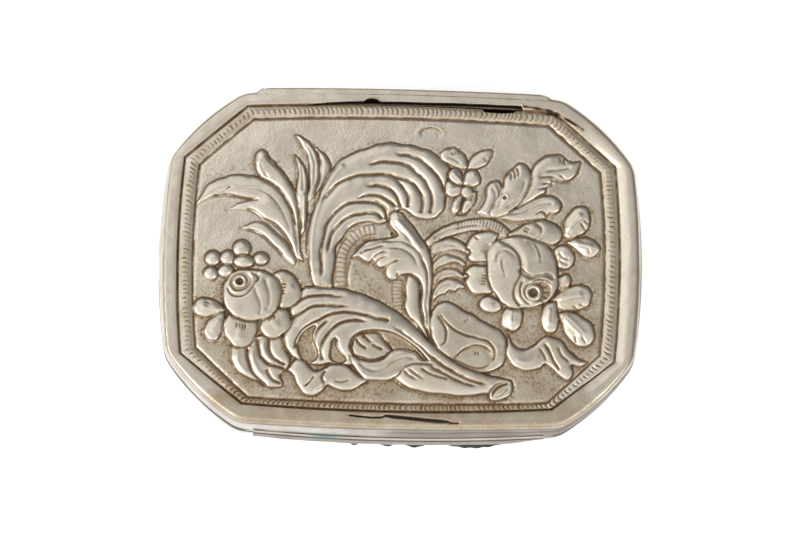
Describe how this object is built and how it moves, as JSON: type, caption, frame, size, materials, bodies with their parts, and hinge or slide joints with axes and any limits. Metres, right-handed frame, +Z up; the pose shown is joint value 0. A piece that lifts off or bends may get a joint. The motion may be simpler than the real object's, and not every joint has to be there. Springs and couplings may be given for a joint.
{
  "type": "tobacco case",
  "caption": "Small eight-sided silver box with bulging sides, a hinged lid chased with scrolling leaves and roses, and a thumb lip.",
  "frame": {"origin": "on the surface that the case stands on, below the middle of the case", "axes": "+X along the hinge and the length of the case, -Y towards the thumb lip, +Z up through the lid"},
  "size_m": [0.0812, 0.0601, 0.025],
  "materials": {
    "polished_silver": "worn old silver, softly polished, warm grey with brown tarnish in the corners",
    "chased_silver": "chased and punched silver, bright on the high places and dark brown in the lines",
    "inner_silver": "unpolished silver inside the case, dull and slightly yellow",
    "steel_wire": "drawn wire, dull grey"
  },
  "bodies": {
    "box": {"body_wall": "polished_silver", "base_plate": "polished_silver", "body_hinge_channel": "polished_silver", "pin_plug_left": "polished_silver", "pin_plug_right": "polished_silver", "body_knuckle_1": "polished_silver", "body_knuckle_2": "polished_silver", "body_knuckle_3": "polished_silver", "body_knuckle_4": "polished_silver", "body_knuckle_5": "polished_silver", "mouth_bezel": "inner_silver", "hinge_pin": "steel_wire"},
    "lid": {"lid_cover": "chased_silver", "lid_skirt": "polished_silver", "thumb_lip": "polished_silver", "lid_hinge_channel": "polished_silver", "lid_knuckle_1": "polished_silver", "lid_knuckle_2": "polished_silver", "lid_knuckle_3": "polished_silver", "lid_knuckle_4": "polished_silver"}
  },
  "joints": [
    {"name": "lid_hinge", "type": "hinge", "parent": "box", "child": "lid", "pos_m": [0, 0.0285, 0.02005], "axis": [-1, 0, 0], "range_deg": [0, 105]}
  ]
}
